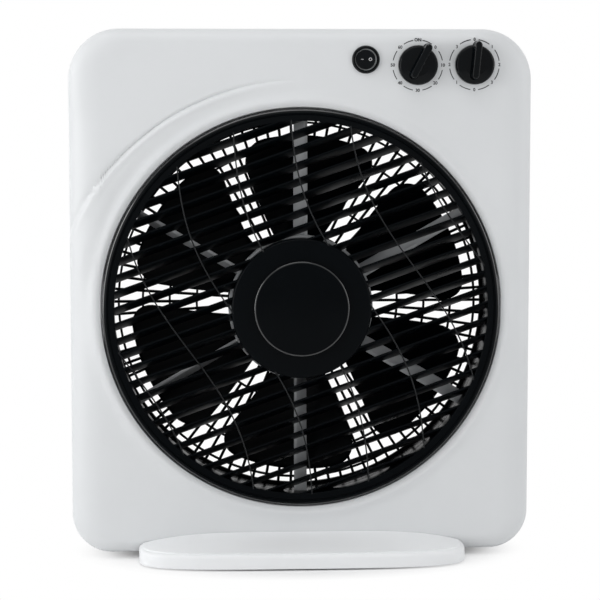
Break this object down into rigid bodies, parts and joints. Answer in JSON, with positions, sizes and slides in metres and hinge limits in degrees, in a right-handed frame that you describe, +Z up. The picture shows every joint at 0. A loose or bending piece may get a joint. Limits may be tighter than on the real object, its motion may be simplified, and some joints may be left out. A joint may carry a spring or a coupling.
{
  "type": "box fan",
  "caption": "Freestanding box fan: a slowly turning louvre wheel in front of a bladed impeller, in a rounded rectangular housing on a wide foot.",
  "frame": {"origin": "on the floor, under the middle of the foot", "axes": "+X to the right seen from the front, +Y from the front panel to the back, +Z up"},
  "size_m": [0.378, 0.174, 0.435],
  "materials": {
    "housing_white": "fine moulded satin",
    "foot_white": "fine moulded satin",
    "spider_white": "fine moulded satin",
    "wheel_black": "semi-gloss moulded",
    "cap_black": "semi-gloss moulded",
    "impeller_black": "semi-gloss moulded",
    "guard_black": "satin moulded",
    "cover_black": "satin moulded",
    "control_black": "polished",
    "switch_black": "moulded",
    "roller_white": "moulded",
    "steel": "turned",
    "zinc": "zinc plated",
    "iron": "stacked laminations",
    "alloy": "die cast",
    "copper": "enamelled copper wire",
    "bronze": "sintered bronze",
    "rubber": "moulded"
  },
  "bodies": {
    "housing": {"front_shell": "housing_white", "rear_shell": "housing_white", "foot": "foot_white", "spider": "spider_white", "rear_guard": "guard_black", "duct_ring": "guard_black", "motor_cover": "cover_black", "rocker_bezel": "control_black", "rocker_contacts": "switch_black", "timer_body": "switch_black", "speed_body": "switch_black", "run_capacitor": "roller_white", "louvre_spindle": "steel", "bearing_front": "steel", "bearing_rear": "steel", "louvre_washer": "zinc", "louvre_screw": "zinc", "louvre_motor": "zinc", "louvre_motor_bracket": "zinc", "bracket_screw_1": "zinc", "bracket_screw_2": "zinc", "motor_screw_1": "zinc", "motor_screw_2": "zinc", "motor_screw_3": "zinc", "shell_screw_1": "zinc", "shell_screw_2": "zinc", "shell_screw_3": "zinc", "shell_screw_4": "zinc", "foot_screw_1": "zinc", "foot_screw_2": "zinc", "foot_screw_3": "zinc", "foot_screw_4": "zinc", "stator": "iron", "motor_front_bell": "alloy", "motor_rear_bell": "alloy", "winding_front": "copper", "winding_rear": "copper", "cable_gland": "rubber", "foot_pad_1": "rubber", "foot_pad_2": "rubber", "foot_pad_3": "rubber", "foot_pad_4": "rubber"},
    "louvre": {"louvre_wheel": "wheel_black", "louvre_bush": "bronze", "louvre_hub_cap": "cap_black"},
    "impeller": {"impeller": "impeller_black", "impeller_nut": "impeller_black", "motor_shaft": "steel", "rotor": "iron"},
    "drive_roller": {"drive_shaft": "steel", "roller_hub": "roller_white", "roller_tyre": "rubber"},
    "timer": {"timer_knob": "control_black", "timer_shaft": "steel"},
    "speed": {"speed_knob": "control_black", "speed_shaft": "steel"},
    "rocker": {"rocker": "control_black"}
  },
  "joints": [
    {"name": "louvre_spin", "type": "hinge", "parent": "housing", "child": "louvre", "pos_m": [0, -0.036, 0.2075], "axis": [0, 1, 0], "continuous": true},
    {"name": "impeller_spin", "type": "hinge", "parent": "housing", "child": "impeller", "pos_m": [0, 0.01, 0.2075], "axis": [0, 1, 0], "continuous": true},
    {"name": "roller_spin", "type": "hinge", "parent": "housing", "child": "drive_roller", "pos_m": [-0.1207, -0.03, 0.0868], "axis": [0, 1, 0], "continuous": true},
    {"name": "timer_turn", "type": "hinge", "parent": "housing", "child": "timer", "pos_m": [0.0945, -0.045, 0.4055], "axis": [0, 1, 0], "range_deg": [-28, 287]},
    {"name": "speed_turn", "type": "hinge", "parent": "housing", "child": "speed", "pos_m": [0.1408, -0.045, 0.406], "axis": [0, 1, 0], "continuous": true},
    {"name": "rocker_tilt", "type": "hinge", "parent": "housing", "child": "rocker", "pos_m": [0.0522, -0.038, 0.41], "axis": [0, 0, 1], "range_deg": [0, 14]}
  ],
  "couplings": [
    {"joint": "roller_spin", "follows": "louvre_spin", "ratio": -20.3}
  ]
}
